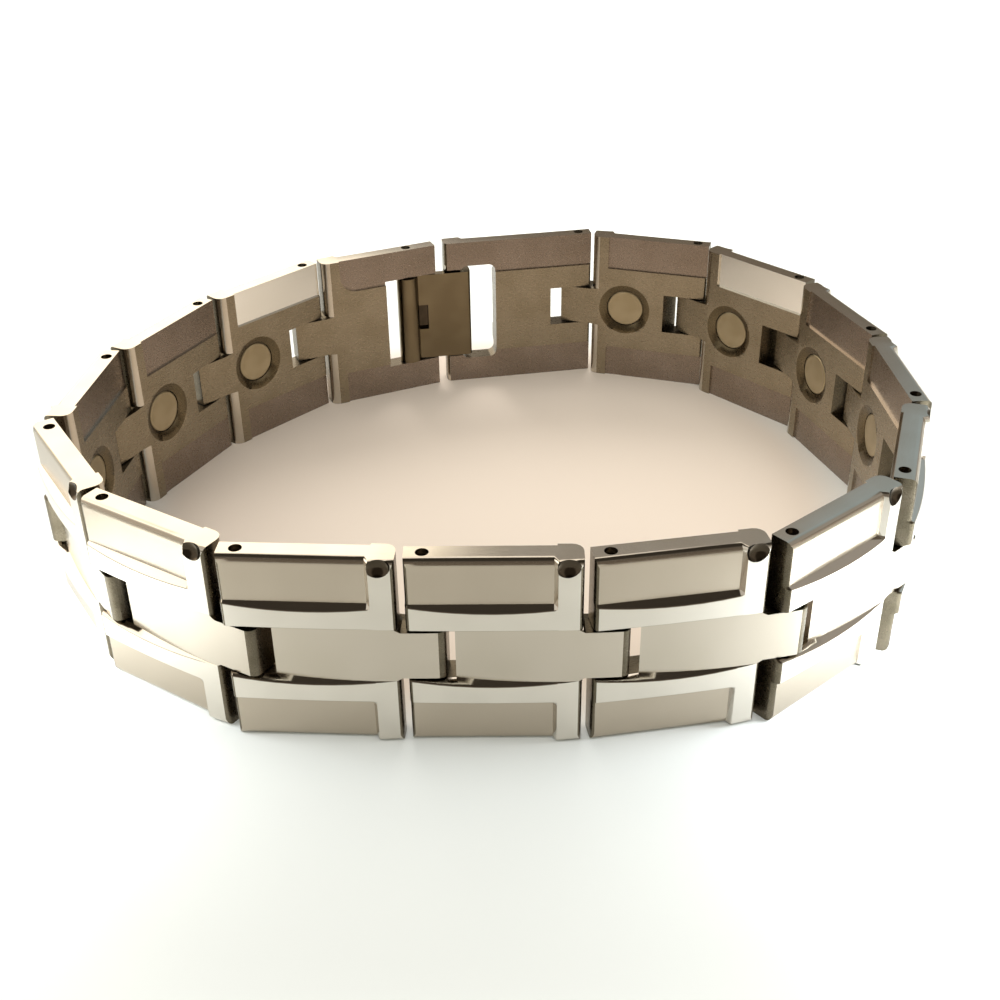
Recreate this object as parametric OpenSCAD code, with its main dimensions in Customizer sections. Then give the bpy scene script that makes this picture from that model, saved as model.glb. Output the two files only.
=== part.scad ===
/* [Band] */
// Distance between neighbouring hinge pins
pitch = 12.5; // [12:0.1:14]
// Width of the band, which is its height as it stands on its side
band_w = 15.5; // [14.5:0.1:18]
// Gap between two link bodies when the band lies straight
link_gap = 0.5; // [0.5:0.05:0.9]
// From a link's notched end to the hinge pin in it
pin_back = 1.25; // [1.1:0.05:1.5]

/* [Thickness] */
// From the hinge pins to the face on the wrist
inner_t = 0.9; // [0.85:0.05:1.2]
// From the hinge pins to the satin side panels
panel_t = 1.05; // [0.9:0.05:1.15]
// From the hinge pins to the crest of the middle band
band_t = 1.35; // [1.3:0.05:1.5]
// From the hinge pins to the crest of the polished frame
frame_t = 1.7; // [1.6:0.05:2]
// Fall of the frame's crest from the middle of a link to its ends
frame_drop = 0.42; // [0.2:0.02:0.44]
// Fall of the middle band from its crest to the notch
band_drop = 0.35; // [0.1:0.05:0.4]

/* [Relief] */
// Width of the crest of each polished lip beside the middle band
lip_w = 1.4; // [1.2:0.05:1.7]
// Width of the polished strip at the tongue end
strip_w = 2; // [1.8:0.05:2.3]
// Run of the leaning walls for each unit of their rise
step_lean = 0.6; // [0.4:0.05:0.7]
// Radius of a link's long outer edges
edge_r = 0.5; // [0.2:0.05:0.5]
// Radius of the ball-shaped scoop at the top of each strip
scoop_r = 1.07; // [0.8:0.01:1.2]
// Radius of a link's corner at its tongue end, on the wrist side
nose_r = 0.8; // [0.5:0.05:0.85]
// Radius of a link's other upright corners
corner_r = 0.25; // [0.1:0.05:0.4]
// Depth of the side panels sunk in the wrist side
inner_sink = 0.2; // [0.1:0.05:0.3]
// Height of each side panel sunk in the wrist side
inner_panel_h = 3.35; // [3:0.05:3.6]
// Width of the strip left between the sunk panels and the tongue end
inner_strip_w = 1.75; // [1.5:0.05:2]

/* [Hinges] */
// Height of a tongue
tongue_h = 3.9; // [3.5:0.05:4.2]
// From a hinge pin to the tip of the tongue round it
tongue_reach = 1.5; // [1.3:0.05:1.6]
// Gap between a tongue's tip and the notch wall at the outer face
notch_gap = 0.55; // [0.5:0.05:0.8]
// How much further back the notch wall lies at the wrist side
notch_lean = 1; // [0.6:0.05:1.1]
// Gap above and below a piece that turns in a link
turn_gap = 0.1; // [0.06:0.01:0.15]
// Diameter of the hinge pins
pin_d = 0.85; // [0.7:0.05:0.9]
// Gap all round a pin
pin_gap = 0.04; // [0.02:0.01:0.06]
// How far each pin end lies below the side edge
pin_sink = 0.5; // [0.3:0.05:0.8]

/* [Magnets] */
// Diameter of a magnet
magnet_d = 3.8; // [3.4:0.1:4]
// Thickness of a magnet
magnet_t = 1.2; // [1:0.05:1.25]
// Depth of a magnet's face below the wrist side
magnet_sink = 0.4; // [0.3:0.05:0.45]
// Shift of a magnet towards the tongue from the middle between the notch and the link's end
magnet_shift = 0.25; // [0:0.05:0.4]
// Gap all round a magnet
magnet_gap = 0.04; // [0.02:0.01:0.06]
// Width of the sloped rim round a magnet
rim_w = 0.75; // [0.5:0.05:0.9]

/* [Clasp] */
// Length of the slotted end link
slot_link_len = 15.45; // [15:0.05:17]
// Gap between the two end links
clasp_gap = 1.1; // [1:0.05:1.4]
// Width of the bar between the slot and the end of its link
bar_w = 1.65; // [1.5:0.05:2]
// Width of the slot along the band
slot_w = 3.65; // [3.3:0.05:3.8]
// Height of the slot
slot_h = 10.4; // [10.2:0.1:10.8]
// Radius of the slot's corners
slot_corner_r = 0.7; // [0.4:0.1:1]
// Depth of the mouth in the hinge end link
mouth_len = 5.5; // [5.2:0.05:5.8]
// From the edge of the mouth to the lever's pin
lever_back = 2.9; // [2.7:0.05:3.1]
// Diameter of the lever's pin
clasp_pin_d = 0.9; // [0.8:0.05:1]
// Height of the lever
lever_h = 9.3; // [8.8:0.1:9.6]
// Radius of the lever's barrel
barrel_r = 1.1; // [0.9:0.05:1.2]
// Thickness of the lever's plate
plate_t = 0.8; // [0.7:0.05:0.9]
// Thickness of the lever's hook
hook_t = 0.9; // [0.8:0.05:1]
// How far the hook reaches outward past the pins
hook_reach = 0.9; // [0.7:0.05:1]
// Gap between the lever and the bar that it closes on
lever_gap = 0.12; // [0.1:0.01:0.15]
// Length of the window in the lever's plate
window_w = 0.95; // [0.7:0.05:1.1]
// Height of the window in the lever's plate
window_h = 2.7; // [2:0.1:3]

/* [Hidden] */
// Bend at each hinge as the bracelet stands, from the hinge end link round to the slotted one,
// and the rough heading of the hinge end link
BENDS = [23, 16, 21, 39, 25, 29, 3, 10, 30, 32, 21, 16, 24, 30, 27];
FIRST_HEADING = 204;
CLOSING_ROUNDS = 6;
BOW_FN = 720;
// Angle swept by the bowed crest, past both ends of any link
CREST_SWEEP = 30;
ROUND_FN = 64;
// How far a cutter runs past the face that it cuts
OVER = 0.5;
// Shares of a tongue's reach: the radii of its tip's outer corner and of the one at the wrist
TIP_SHARE = 0.35;
TIP_CORNER_SHARE = 0.25;
// Place of the scoop's centre outward of the panel and below the side edge, as shares of its radius
SCOOP_OUT = 0.9;
SCOOP_DOWN = 0.28;
STEEL = [0.80, 0.78, 0.74];
DARK_STEEL = [0.45, 0.43, 0.40];
MAGNET_GREY = [0.60, 0.57, 0.50];

// Numbers of the pieces round the band: 0 is the hinge end link, LAST the slotted end link
LAST = len(BENDS);
REGULAR = LAST - 1;
ALL = [0:LAST];
// The piece that faces straight to the front
FRONT_PIECE = floor(LAST / 2);

body_len = pitch - link_gap;
body_end = body_len - pin_back;
slot_link_end = slot_link_len - pin_back;
mid = band_w / 2;
strip_x = body_end - strip_w;
notch_half = tongue_h / 2 + turn_gap;
notch_out = tongue_reach + notch_gap;
frame_rise = frame_t - panel_t;
lip_in = notch_half + step_lean * frame_rise;
panel_half = lip_in + lip_w + step_lean * frame_rise;
band_bow_r = bow_radius(strip_x - notch_out, band_drop);
tongue_end = pitch + tongue_reach;
tip_t = band_t - band_bow_r + sqrt(band_bow_r ^ 2 - (tongue_end - strip_x) ^ 2);
tip_r = TIP_SHARE * tongue_reach;
tip_corner_r = TIP_CORNER_SHARE * tongue_reach;
bore_r = pin_d / 2 + pin_gap;
pin_h = band_w - 2 * pin_sink;
pocket_r = magnet_d / 2 + magnet_gap;
inner_corner_r = inner_panel_h / 2;
magnet_x = (notch_out + notch_lean + body_end) / 2 + magnet_shift;
lever_half = lever_h / 2;
mouth_half = lever_half + turn_gap;
clasp_pin_x = lever_back - pin_back;
clasp_bore_r = clasp_pin_d / 2 + pin_gap;
slot_end = slot_link_end - bar_w;
hook_x = slot_end - lever_gap - hook_t;
window_back = barrel_r + window_w;

// Radius of an arc that falls by drop over a half chord
function bow_radius(half, drop) = (half * half + drop * drop) / (2 * drop);
function total(list) = [for (item = list) 1] * list;
function direction(angle) = [cos(angle), sin(angle)];
function turned(point, angle) =
    [point.x * cos(angle) - point.y * sin(angle), point.x * sin(angle) + point.y * cos(angle)];
function two_digits(i) = str(i < 10 ? "0" : "", i);

// Sides of the loop from hinge to hinge; its first corner is the middle of the clasp's gap
SIDES = [for (i = ALL) i == 0 ? clasp_gap / 2 + pin_back + pitch
    : i == LAST ? slot_link_end + clasp_gap / 2 : pitch];

// Heading of each piece from the chosen bends alone
function chosen_heading(i) = i == 0 ? FIRST_HEADING : chosen_heading(i - 1) + BENDS[i - 1];

// Headings turned by the smallest amounts with which the loop's sides close
function closed(headings, rounds) = rounds <= 0 ? headings :
    let (
        across = total([for (i = ALL) SIDES[i] * cos(headings[i])]),
        along = total([for (i = ALL) SIDES[i] * sin(headings[i])]),
        ss = total([for (i = ALL) SIDES[i] * sin(headings[i]) ^ 2]),
        cc = total([for (i = ALL) SIDES[i] * cos(headings[i]) ^ 2]),
        sc = total([for (i = ALL) SIDES[i] * sin(headings[i]) * cos(headings[i])]),
        size = ss * cc - sc * sc,
        a = -(cc * across + sc * along) / size,
        b = -(sc * across + ss * along) / size
    )
    closed([for (h = headings) h + (b * cos(h) - a * sin(h)) * 180 / PI], rounds - 1);

LOOSE = closed([for (i = ALL) chosen_heading(i)], CLOSING_ROUNDS);
HEADINGS = [for (h = LOOSE) h - LOOSE[FRONT_PIECE]];
clasp_turn = HEADINGS[0] + 360 - HEADINGS[LAST];

// Corner i of the loop, which is the hinge pin of piece i
function corner(i) = i == 0 ? [0, 0] : corner(i - 1) + SIDES[i - 1] * direction(HEADINGS[i - 1]);
START = (clasp_gap / 2 + pin_back) * direction(HEADINGS[0]);
SPOTS = [for (i = ALL) i == 0 ? START : corner(i)];

// Plan bounds of the frames' crests, by which the loop is centred
function end_of(i) = i == LAST ? slot_link_end : body_end;
function frame_r(end_x) = bow_radius((end_x + pin_back) / 2, frame_drop);
function crest(x, end_x) =
    let (r = frame_r(end_x), off = x - (end_x - pin_back) / 2) frame_t - r + sqrt(r * r - off * off);
CREST_SHARES = [0, 0.25, 0.5, 0.75, 1];
CRESTS = [for (i = [1:LAST]) for (share = CREST_SHARES)
    let (x = share * (end_of(i) + pin_back) - pin_back)
    SPOTS[i] + turned([x, -crest(x, end_of(i))], HEADINGS[i])];
CENTER = [for (axis = [0, 1]) let (values = [for (p = CRESTS) p[axis]]) (min(values) + max(values)) / 2];

// The lever's pin, seen from the slotted end link
lever_pin = [slot_link_end + clasp_gap / 2, 0] + (clasp_gap / 2 + lever_back) * direction(clasp_turn);

// Puts a piece in the loop; pieces are drawn along +x from their own pin, with the wrist at +y
module place(i)
    translate([SPOTS[i].x - CENTER.x, SPOTS[i].y - CENTER.y, 0])
        rotate(HEADINGS[i]) children();

// Stands a plan on its height
module upright(from = 0, to = band_w)
    translate([0, 0, from]) linear_extrude(to - from) children();

// Draws a section across the band, depth by height, from one place along it to another
module along_band(from, to)
    translate([from, 0, mid]) rotate([90, 0, 90]) linear_extrude(to - from) children();

// Turns a piece at the lower edge over to the upper edge
module upper()
    translate([0, 0, band_w]) mirror([0, 0, 1]) children();

// Repeats a piece below the middle of the band
module above_and_below() {
    children();
    upper() children();
}

// Plan of a slab whose outer face is bowed about bow_x
module bowed_plan(from, to, crest_t, bow_x, bow_r)
    intersection() {
        translate([from, -crest_t - OVER]) square([to - from, crest_t + OVER]);
        translate([bow_x, bow_r - crest_t]) circle(bow_r, $fn = BOW_FN);
    }

// Cutter that rounds an upright edge of a body that lies at -x and -y of it
module edge_cut(r)
    upright(-OVER, band_w + OVER) difference() {
        translate([-r, -r]) square(r + OVER);
        translate([-r, -r]) circle(r, $fn = ROUND_FN);
    }

// Section of the slab under the relief, with its two outer edges rounded
module slab_section() {
    flat = mid - edge_r;
    translate([-panel_t, -flat]) square([panel_t + inner_t, 2 * flat]);
    translate([edge_r - panel_t, -mid]) square([panel_t + inner_t - edge_r, band_w]);
    for (side = [-1, 1])
        translate([edge_r - panel_t, side * flat]) circle(edge_r, $fn = ROUND_FN);
}

// Section of a polished lip, a bank with two leaning sides
module lip_section() {
    rise = frame_rise + OVER / 2;
    polygon([
        [0, notch_half],
        [-panel_t, notch_half],
        [-panel_t - rise, notch_half + step_lean * rise],
        [-panel_t - rise, panel_half - step_lean * rise],
        [-panel_t, panel_half],
        [0, panel_half]
    ]);
}

// Section of the polished strip, which leans towards the middle band
module strip_section() {
    rise = frame_rise + OVER / 2;
    polygon([
        [0, notch_half],
        [-panel_t, notch_half],
        [-panel_t - rise, notch_half + step_lean * rise],
        [-panel_t - rise, mid],
        [0, mid]
    ]);
}

// Plan of the polished strip, which leans back from the side panel
module strip_plan(end_x) {
    rise = frame_rise + OVER / 2;
    from = end_x - strip_w;
    polygon([
        [from, 0],
        [from, -panel_t],
        [from + step_lean * rise, -panel_t - rise],
        [end_x, -panel_t - rise],
        [end_x, 0]
    ]);
}

// Slab bowed up to the frame's crest, with its two outer edges rounded
module crest_slab(end_x) {
    r = frame_r(end_x);
    translate([(end_x - pin_back) / 2, r - frame_t]) rotate(-90 - CREST_SWEEP / 2)
        rotate_extrude(angle = CREST_SWEEP, $fn = BOW_FN) {
            translate([r - edge_r, edge_r]) square([edge_r, band_w - 2 * edge_r]);
            translate([r - frame_t, 0]) square([frame_t - edge_r, band_w]);
            for (z = [edge_r, band_w - edge_r])
                translate([r - edge_r, z]) circle(edge_r, $fn = ROUND_FN);
        }
}

// Polished frame: a lip on each side of the middle band and a strip across the end
module frame(end_x)
    intersection() {
        crest_slab(end_x);
        above_and_below() {
            along_band(-pin_back, end_x) lip_section();
            intersection() {
                along_band(end_x - strip_w, end_x) strip_section();
                upright() strip_plan(end_x);
            }
        }
    }

module middle_band(end_x)
    upright(mid - lip_in, mid + lip_in) bowed_plan(notch_out, end_x, band_t, strip_x, band_bow_r);

// Body of a link with its relief and rounded upright edges
module link_body(end_x) {
    end_t = frame_t - frame_drop;
    difference() {
        union() {
            along_band(-pin_back, end_x) slab_section();
            frame(end_x);
            middle_band(end_x);
        }
        translate([end_x, inner_t]) edge_cut(nose_r);
        translate([end_x, -end_t]) mirror([0, 1]) edge_cut(corner_r);
        translate([-pin_back, inner_t]) mirror([1, 0]) edge_cut(corner_r);
        translate([-pin_back, -end_t]) rotate(180) edge_cut(corner_r);
    }
}

// Tongue that the next link turns on, with the corners of its tip rounded
module tongue()
    difference() {
        upright(mid - tongue_h / 2, mid + tongue_h / 2) intersection() {
            translate([strip_x, -band_t - OVER]) square([tongue_end - strip_x, band_t + OVER + inner_t]);
            translate([strip_x, band_bow_r - band_t]) circle(band_bow_r, $fn = BOW_FN);
        }
        translate([tongue_end, -tip_t]) mirror([0, 1]) edge_cut(tip_r);
        translate([tongue_end, inner_t]) edge_cut(tip_corner_r);
        translate([pitch, 0]) pin_bore(bore_r);
    }

// Cutter for the notch that a tongue turns in, from its outer to its wrist side
module notch(out_x, in_x) {
    lean = (in_x - out_x) / (band_t + inner_t);
    upright(mid - notch_half, mid + notch_half) polygon([
        [-pin_back - OVER, -frame_t - OVER],
        [out_x - lean * (frame_t - band_t + OVER), -frame_t - OVER],
        [in_x + lean * OVER, inner_t + OVER],
        [-pin_back - OVER, inner_t + OVER]
    ]);
}

module pin_bore(r)
    translate([0, 0, -OVER]) cylinder(h = band_w + 2 * OVER, r = r, $fn = ROUND_FN);

// Cutter for the half-moon scoop at the top of the strip
module scoop()
    translate([body_end - strip_w / 2, -panel_t - SCOOP_OUT * scoop_r, band_w - SCOOP_DOWN * scoop_r])
        sphere(scoop_r, $fn = 2 * ROUND_FN);

// Cutter for the lower side panel of the wrist side, with its far corner rounded
module inner_panel(to, corner) {
    run = to + pin_back + OVER;
    translate([-pin_back - OVER, inner_t + OVER, 0]) rotate([90, 0, 0])
        linear_extrude(OVER + inner_sink) difference() {
            translate([0, -OVER]) square([run, inner_panel_h + OVER]);
            if (corner > 0) translate([run - corner, inner_panel_h - corner]) difference() {
                square(corner + OVER);
                circle(corner, $fn = ROUND_FN);
            }
        }
}

// Cutter for a magnet's pocket and the sloped rim round it
module magnet_seat()
    translate([magnet_x, inner_t, mid]) rotate([90, 0, 0]) {
        translate([0, 0, -OVER])
            cylinder(h = OVER + magnet_sink + magnet_t + magnet_gap, r = pocket_r, $fn = ROUND_FN);
        translate([0, 0, -magnet_sink]) cylinder(
            h = 2 * magnet_sink, r1 = pocket_r + 2 * rim_w, r2 = pocket_r, $fn = ROUND_FN);
    }

module link()
    color(STEEL) difference() {
        union() {
            difference() {
                link_body(body_end);
                notch(notch_out, notch_out + notch_lean);
                scoop();
                pin_bore(bore_r);
            }
            tongue();
        }
        above_and_below() inner_panel(body_end - inner_strip_w, 0);
        magnet_seat();
    }

module hinge_end_link()
    color(STEEL) difference() {
        union() {
            difference() {
                link_body(body_end);
                scoop();
            }
            tongue();
        }
        inner_panel(body_end - inner_strip_w, 0);
        upper() inner_panel(body_end - inner_strip_w, inner_corner_r);
        translate([-pin_back - OVER, -frame_t - OVER, mid - mouth_half])
            cube([mouth_len + OVER, frame_t + inner_t + 2 * OVER, 2 * mouth_half]);
        translate([clasp_pin_x, 0]) pin_bore(clasp_bore_r);
    }

// Cutter for the slot that the hook drops into
module slot() {
    flat = [slot_w - 2 * slot_corner_r, slot_h - 2 * slot_corner_r];
    translate([slot_end - slot_w, inner_t + OVER, mid - slot_h / 2]) rotate([90, 0, 0])
        linear_extrude(frame_t + inner_t + 2 * OVER) {
            translate([slot_corner_r, 0]) square([flat.x, slot_h]);
            translate([0, slot_corner_r]) square([slot_w, flat.y]);
            for (x = [0, flat.x], y = [0, flat.y])
                translate([x + slot_corner_r, y + slot_corner_r]) circle(slot_corner_r, $fn = ROUND_FN);
        }
}

// Cutter for the bed that the lever's plate lies in on the bar
module lever_bed() {
    bed_half = lever_half + 2 * turn_gap;
    bed_t = plate_t + lever_gap;
    translate([slot_end - OVER, inner_t - bed_t, mid - bed_half])
        cube([bar_w + 2 * OVER, bed_t + OVER, 2 * bed_half]);
}

module slot_end_link()
    color(STEEL) difference() {
        link_body(slot_link_end);
        notch(notch_out + notch_lean, notch_out + notch_lean);
        pin_bore(bore_r);
        above_and_below() inner_panel(slot_link_end + OVER, 0);
        slot();
        lever_bed();
    }

module magnet()
    color(MAGNET_GREY) translate([magnet_x, inner_t - magnet_sink, mid]) rotate([90, 0, 0])
        cylinder(h = magnet_t, d = magnet_d, $fn = ROUND_FN);

module pin(d)
    color(DARK_STEEL) translate([0, 0, pin_sink]) cylinder(h = pin_h, d = d, $fn = ROUND_FN);

// Lever in the frame of the slotted end link: barrel, plate and hook
module clasp_lever()
    color(DARK_STEEL) difference() {
        upright(mid - lever_half, mid + lever_half) {
            translate(lever_pin) circle(barrel_r, $fn = ROUND_FN);
            translate([hook_x, inner_t - plate_t]) square([lever_pin.x - hook_x, plate_t]);
            translate([hook_x, hook_t / 2 - hook_reach])
                square([hook_t, hook_reach + inner_t - plate_t / 2 - hook_t / 2]);
            translate([hook_x + hook_t / 2, hook_t / 2 - hook_reach]) circle(hook_t / 2, $fn = ROUND_FN);
        }
        translate([hook_x, inner_t]) mirror([1, 0]) edge_cut(plate_t / 2);
        translate(lever_pin) pin_bore(clasp_bore_r);
        translate([lever_pin.x - window_back, inner_t - plate_t - OVER, mid - window_h / 2])
            cube([window_w, plate_t + 2 * OVER, window_h]);
    }

place(0) hinge_end_link();
for (i = [1:REGULAR]) {
    place(i) link();
    place(i) magnet();
}
for (i = [1:LAST])
    place(i) pin(pin_d);
place(LAST) slot_end_link();
place(LAST) clasp_lever();
place(LAST) translate(lever_pin) pin(clasp_pin_d);  // clasp_pin
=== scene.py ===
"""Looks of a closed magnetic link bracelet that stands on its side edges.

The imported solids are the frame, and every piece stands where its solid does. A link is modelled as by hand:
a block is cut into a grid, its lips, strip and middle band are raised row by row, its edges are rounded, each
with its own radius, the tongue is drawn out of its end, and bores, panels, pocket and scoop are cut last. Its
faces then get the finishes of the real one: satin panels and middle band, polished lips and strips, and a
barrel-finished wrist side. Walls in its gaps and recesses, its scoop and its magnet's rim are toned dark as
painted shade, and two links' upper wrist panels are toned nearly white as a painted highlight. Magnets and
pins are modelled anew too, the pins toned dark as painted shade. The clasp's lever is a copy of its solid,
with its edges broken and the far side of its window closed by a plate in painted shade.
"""

import logging
import math
from dataclasses import dataclass, field
from enum import Enum
from typing import Any, Callable, ClassVar

import bpy
from mathutils import Matrix, Vector


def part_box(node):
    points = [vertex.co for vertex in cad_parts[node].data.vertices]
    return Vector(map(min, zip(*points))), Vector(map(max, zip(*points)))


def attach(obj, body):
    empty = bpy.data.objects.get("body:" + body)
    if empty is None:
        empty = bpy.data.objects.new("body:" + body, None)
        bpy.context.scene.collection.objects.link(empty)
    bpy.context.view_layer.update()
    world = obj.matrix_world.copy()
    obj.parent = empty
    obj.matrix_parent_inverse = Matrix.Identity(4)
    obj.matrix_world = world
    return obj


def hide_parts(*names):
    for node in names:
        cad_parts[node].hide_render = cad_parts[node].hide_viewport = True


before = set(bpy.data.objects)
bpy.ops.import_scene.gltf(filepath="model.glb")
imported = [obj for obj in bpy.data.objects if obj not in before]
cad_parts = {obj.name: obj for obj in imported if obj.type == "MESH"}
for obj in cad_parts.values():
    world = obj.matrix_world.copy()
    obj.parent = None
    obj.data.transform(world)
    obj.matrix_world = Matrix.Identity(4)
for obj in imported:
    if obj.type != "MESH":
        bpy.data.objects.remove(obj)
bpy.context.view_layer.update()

# Metres in a millimetre
MM = 0.001
# Two lengths nearer than this are the same, in millimetres
NEAR = 0.004
# A face belongs to a surface when its middle is nearer to it than this, in millimetres
SLACK = 0.02
# A face is turned towards a way from the first share of its normal, faces it from the second, and looks
# straight along it from the third
TURNED = 0.1
FACING = 0.5
STRAIGHT = 0.9
# Attribute that holds each point's place along its own piece
PLACE = "place_mm"
REGULAR_LINKS = 14
# The link that lies along X, so that the boxes of its magnet and its far pin are their sizes
MIDDLE_LINK = 7
log = logging.getLogger("bracelet")

Triple = tuple[float, float, float]
Colour = tuple[float, float, float, float]


def linear(hex_colour: str) -> Colour:
    """Turns an sRGB hex colour to linear light, by the standard's own curve.

    Args:
        hex_colour: six hex digits after a hash.

    Returns:
        Red, green, blue and an alpha of 1.
    """
    shares = [int(hex_colour[i:i + 2], 16) / 255 for i in (1, 3, 5)]
    red, green, blue = (s / 12.92 if s <= 0.04045 else ((s + 0.055) / 1.055) ** 2.4 for s in shares)
    return red, green, blue, 1.0


def add_node(tree: bpy.types.NodeTree, kind: str, settings: dict[str, Any],
             inputs: dict[str | int, Any]) -> bpy.types.Node:
    """Adds a node with its settings and links.

    Args:
        tree: the node tree that it goes into.
        kind: Blender's name for the kind of node.
        settings: a value for each of its properties.
        inputs: for each input, a value or the output socket that feeds it.

    Returns:
        The new node.
    """
    node = tree.nodes.new(kind)
    for name, value in settings.items():
        setattr(node, name, value)
    for name, value in inputs.items():
        if isinstance(value, bpy.types.NodeSocket):
            tree.links.new(value, node.inputs[name])
        else:
            node.inputs[name].default_value = value
    return node


@dataclass(frozen=True)
class MetalFinish:
    """One finish of the bracelet's metal.

    Attributes:
        name: the metal and how its surface was made.
        tone: sRGB colour of the clean metal.
        drift: sRGB colour that the tone drifts to in soft patches.
        roughness: its lowest and highest roughness.
        grain_mm: distance between neighbouring marks of the tool. Real hair lines of 0.02 to 0.05 mm are too
            fine to show, so theirs are drawn 0.08 mm apart.
        stretch: how many times longer than apart the marks are.
        depth_mm: depth of the marks.
        patch_mm: size of the soft patches and of the slow waves in the surface.
        wave_mm: depth of the slow waves.
        metallic: 1 for a clean cut, less where a worn, pitted skin scatters part of the light.
        grain_span: values of the grain's noise between which the roughness runs.
        patch_span: values of the patches' noise between which the tone drifts.
        grain_octaves: layers of ever finer noise in the grain.
        grain_fineness: share of each finer layer.
        patch_octaves: layers of noise in the patches.
    """

    name: str
    tone: str
    drift: str
    roughness: tuple[float, float]
    grain_mm: float
    stretch: float
    depth_mm: float
    patch_mm: float = 3.0
    wave_mm: float = 0.001
    metallic: float = 1.0
    grain_span: ClassVar[tuple[float, float]] = (0.3, 0.7)
    patch_span: ClassVar[tuple[float, float]] = (0.35, 0.65)
    grain_octaves: ClassVar[float] = 2.0
    grain_fineness: ClassVar[float] = 0.6
    patch_octaves: ClassVar[float] = 1.0

    def material(self) -> bpy.types.Material:
        """Makes the material, whose marks follow each piece's own length.

        Returns:
            The new material.
        """
        made = bpy.data.materials.new(self.name)
        made.use_nodes = True
        tree = made.node_tree
        tree.nodes.clear()
        place = add_node(tree, "ShaderNodeAttribute", {"attribute_name": PLACE}, {}).outputs["Vector"]
        grain_scale = (1 / (self.grain_mm * self.stretch), 1 / self.grain_mm, 1 / self.grain_mm)
        marks = add_node(tree, "ShaderNodeMapping", {}, {"Vector": place, "Scale": grain_scale})
        grain = add_node(
            tree, "ShaderNodeTexNoise", {},
            {"Vector": marks.outputs["Vector"], "Scale": 1.0,
             "Detail": self.grain_octaves, "Roughness": self.grain_fineness},
        ).outputs["Fac"]
        patches = add_node(
            tree, "ShaderNodeTexNoise", {},
            {"Vector": place, "Scale": 1 / self.patch_mm, "Detail": self.patch_octaves},
        ).outputs["Fac"]
        tint = add_node(tree, "ShaderNodeValToRGB", {}, {"Fac": patches})
        tones = (self.tone, self.drift)
        for stop, position, colour in zip(tint.color_ramp.elements, self.patch_span, tones):
            stop.position = position
            stop.color = linear(colour)
        rough = add_node(
            tree, "ShaderNodeMapRange", {},
            {"Value": grain, "From Min": self.grain_span[0], "From Max": self.grain_span[1],
             "To Min": self.roughness[0], "To Max": self.roughness[1]},
        ).outputs["Result"]
        waves = add_node(
            tree, "ShaderNodeBump", {}, {"Distance": self.wave_mm * MM, "Height": patches},
        ).outputs["Normal"]
        relief = add_node(
            tree, "ShaderNodeBump", {},
            {"Distance": self.depth_mm * MM, "Height": grain, "Normal": waves},
        ).outputs["Normal"]
        shader = add_node(
            tree, "ShaderNodeBsdfPrincipled", {},
            {"Metallic": self.metallic, "Base Color": tint.outputs["Color"],
             "Roughness": rough, "Normal": relief},
        )
        add_node(tree, "ShaderNodeOutputMaterial", {}, {"Surface": shader.outputs["BSDF"]})
        return made


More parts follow.
